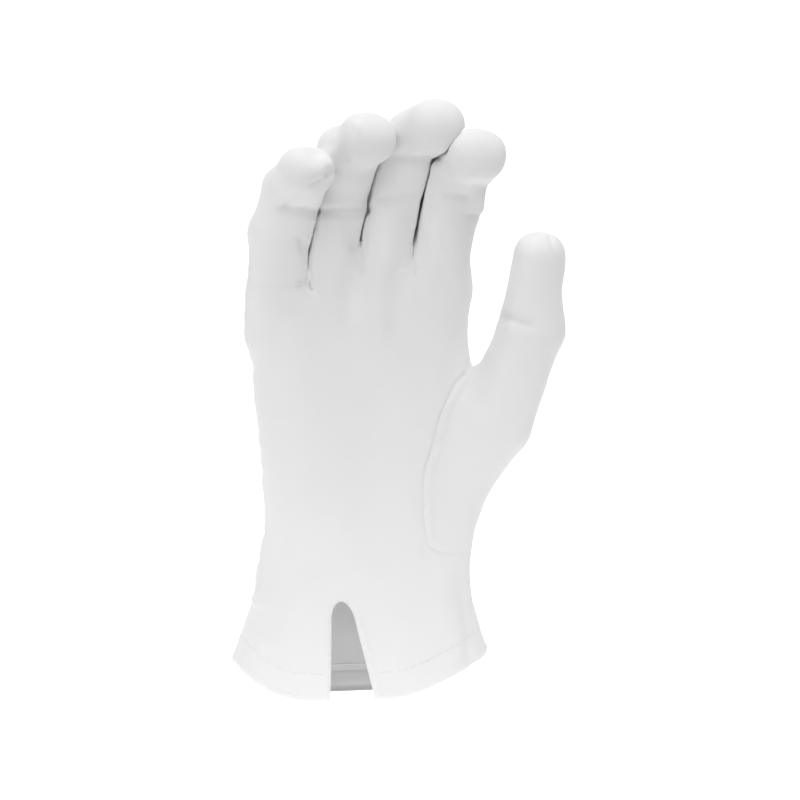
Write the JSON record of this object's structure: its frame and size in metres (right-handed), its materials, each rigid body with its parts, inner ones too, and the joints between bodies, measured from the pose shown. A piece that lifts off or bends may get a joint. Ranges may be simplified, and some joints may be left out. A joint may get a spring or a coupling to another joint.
{
  "type": "parade glove",
  "caption": "White cotton glove for the right hand, keeping a relaxed hand's curled form, with fingers, a thumb, a flared cuff and a vent at the wrist.",
  "frame": {"origin": "middle of the wrist opening, at the height of the rim's mean", "axes": "+Z from the wrist opening to the fingertips, -Y the palm's side, +X the thumb's side"},
  "size_m": [0.1301, 0.0832, 0.2416],
  "materials": {
    "cotton": "matte white knitted cotton"
  },
  "bodies": {
    "root": {"palm_panel": "cotton", "back_panel": "cotton", "gusset_index_middle": "cotton", "gusset_middle_ring": "cotton", "gusset_ring_little": "cotton", "thumb_piece": "cotton", "cuff_hem": "cotton", "vent_facing": "cotton"}
  },
  "joints": []
}
